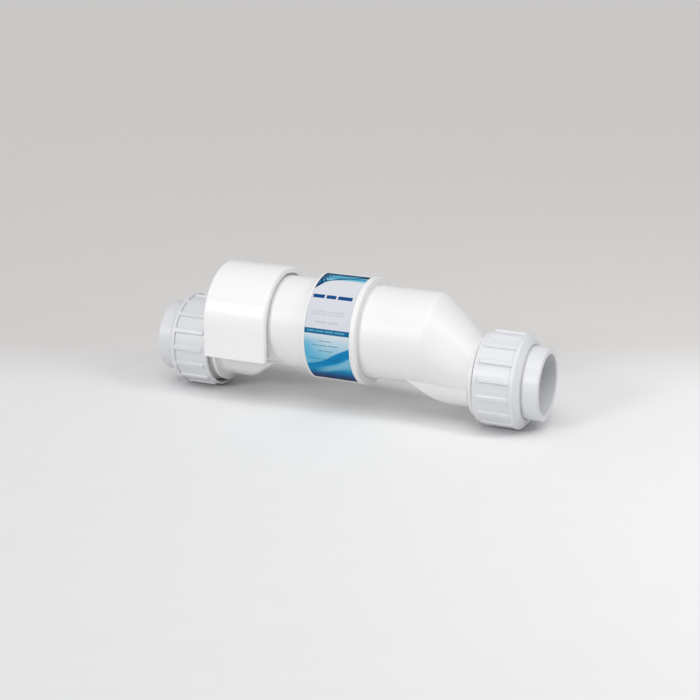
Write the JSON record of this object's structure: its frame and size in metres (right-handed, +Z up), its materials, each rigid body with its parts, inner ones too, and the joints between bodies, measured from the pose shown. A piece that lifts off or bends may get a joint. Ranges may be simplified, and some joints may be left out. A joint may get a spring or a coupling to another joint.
{
  "type": "salt chlorine generator cell",
  "caption": "White in-line electrolytic cell: round chamber above the pipe axis, sloped ends, ribbed union nuts with pipe sockets, labelled collar and a round-topped terminal cover.",
  "frame": {"origin": "mouth of the inlet pipe socket, on the pipe axis", "axes": "+X along the pipe axis from the inlet to the outlet, +Z up towards the chamber axis and the terminal cover, +Y to the rear, where the cable gland is"},
  "size_m": [0.415, 0.134, 0.1355],
  "materials": {
    "housing_white": "semi-gloss moulded",
    "collar_white": "semi-gloss moulded",
    "cover_white": "semi-gloss moulded",
    "union_white": "semi-gloss moulded",
    "label_blue": "printed film",
    "seal_black": "moulded rubber",
    "gasket_grey": "sheet rubber",
    "plate_coated": "coated titanium mesh plate",
    "busbar_metal": "titanium strip",
    "stud_metal": "titanium bar",
    "fixing_steel": "stainless",
    "comb_black": "moulded",
    "gland_grey": "moulded nylon"
  },
  "bodies": {
    "housing": {"housing_inlet": "housing_white", "housing_outlet": "housing_white", "neck_inlet": "housing_white", "neck_outlet": "housing_white", "chamber_inlet": "housing_white", "chamber_outlet": "housing_white", "housing_gasket": "seal_black", "centre_collar": "collar_white", "label_wrap": "label_blue", "union_seal_inlet": "seal_black", "union_seal_outlet": "seal_black", "electrode_plate_1": "plate_coated", "electrode_plate_2": "plate_coated", "electrode_plate_3": "plate_coated", "electrode_plate_4": "plate_coated", "electrode_plate_5": "plate_coated", "electrode_plate_6": "plate_coated", "electrode_plate_7": "plate_coated", "electrode_plate_8": "plate_coated", "electrode_plate_9": "plate_coated", "electrode_comb_inlet": "comb_black", "electrode_comb_outlet": "comb_black", "busbar_anode": "busbar_metal", "busbar_cathode": "busbar_metal", "terminal_stud_anode": "stud_metal", "terminal_stud_cathode": "stud_metal", "stud_seal_anode": "seal_black", "stud_seal_cathode": "seal_black", "terminal_washers": "fixing_steel", "terminal_nuts": "fixing_steel", "terminal_cover": "cover_white", "cover_gasket_front": "gasket_grey", "cover_gasket_rear": "gasket_grey", "cover_screws": "fixing_steel", "gland_body": "gland_grey", "gland_seal_ring": "seal_black", "gland_locknut": "gland_grey", "gland_bush": "seal_black", "gland_cap": "gland_grey"},
    "inlet_tail": {"tailpiece_inlet": "union_white"},
    "inlet_nut": {"union_nut_inlet": "union_white"},
    "outlet_tail": {"tailpiece_outlet": "union_white"},
    "outlet_nut": {"union_nut_outlet": "union_white"}
  },
  "joints": [
    {"name": "inlet_tail_slide", "type": "slide", "parent": "housing", "child": "inlet_tail", "axis": [-1, 0, 0], "range_m": [0, 0.0251]},
    {"name": "inlet_nut_turn", "type": "hinge", "parent": "inlet_tail", "child": "inlet_nut", "pos_m": [0.0395, 0, 0], "axis": [-1, 0, 0], "range_deg": [0, 1800]},
    {"name": "outlet_tail_slide", "type": "slide", "parent": "housing", "child": "outlet_tail", "axis": [1, 0, 0], "range_m": [0, 0.0251]},
    {"name": "outlet_nut_turn", "type": "hinge", "parent": "outlet_tail", "child": "outlet_nut", "pos_m": [0.3755, 0, 0], "axis": [1, 0, 0], "range_deg": [0, 1800]}
  ],
  "couplings": [
    {"joint": "inlet_tail_slide", "follows": "inlet_nut_turn", "m_per_rad": 0.00079577},
    {"joint": "outlet_tail_slide", "follows": "outlet_nut_turn", "m_per_rad": 0.00079577}
  ]
}
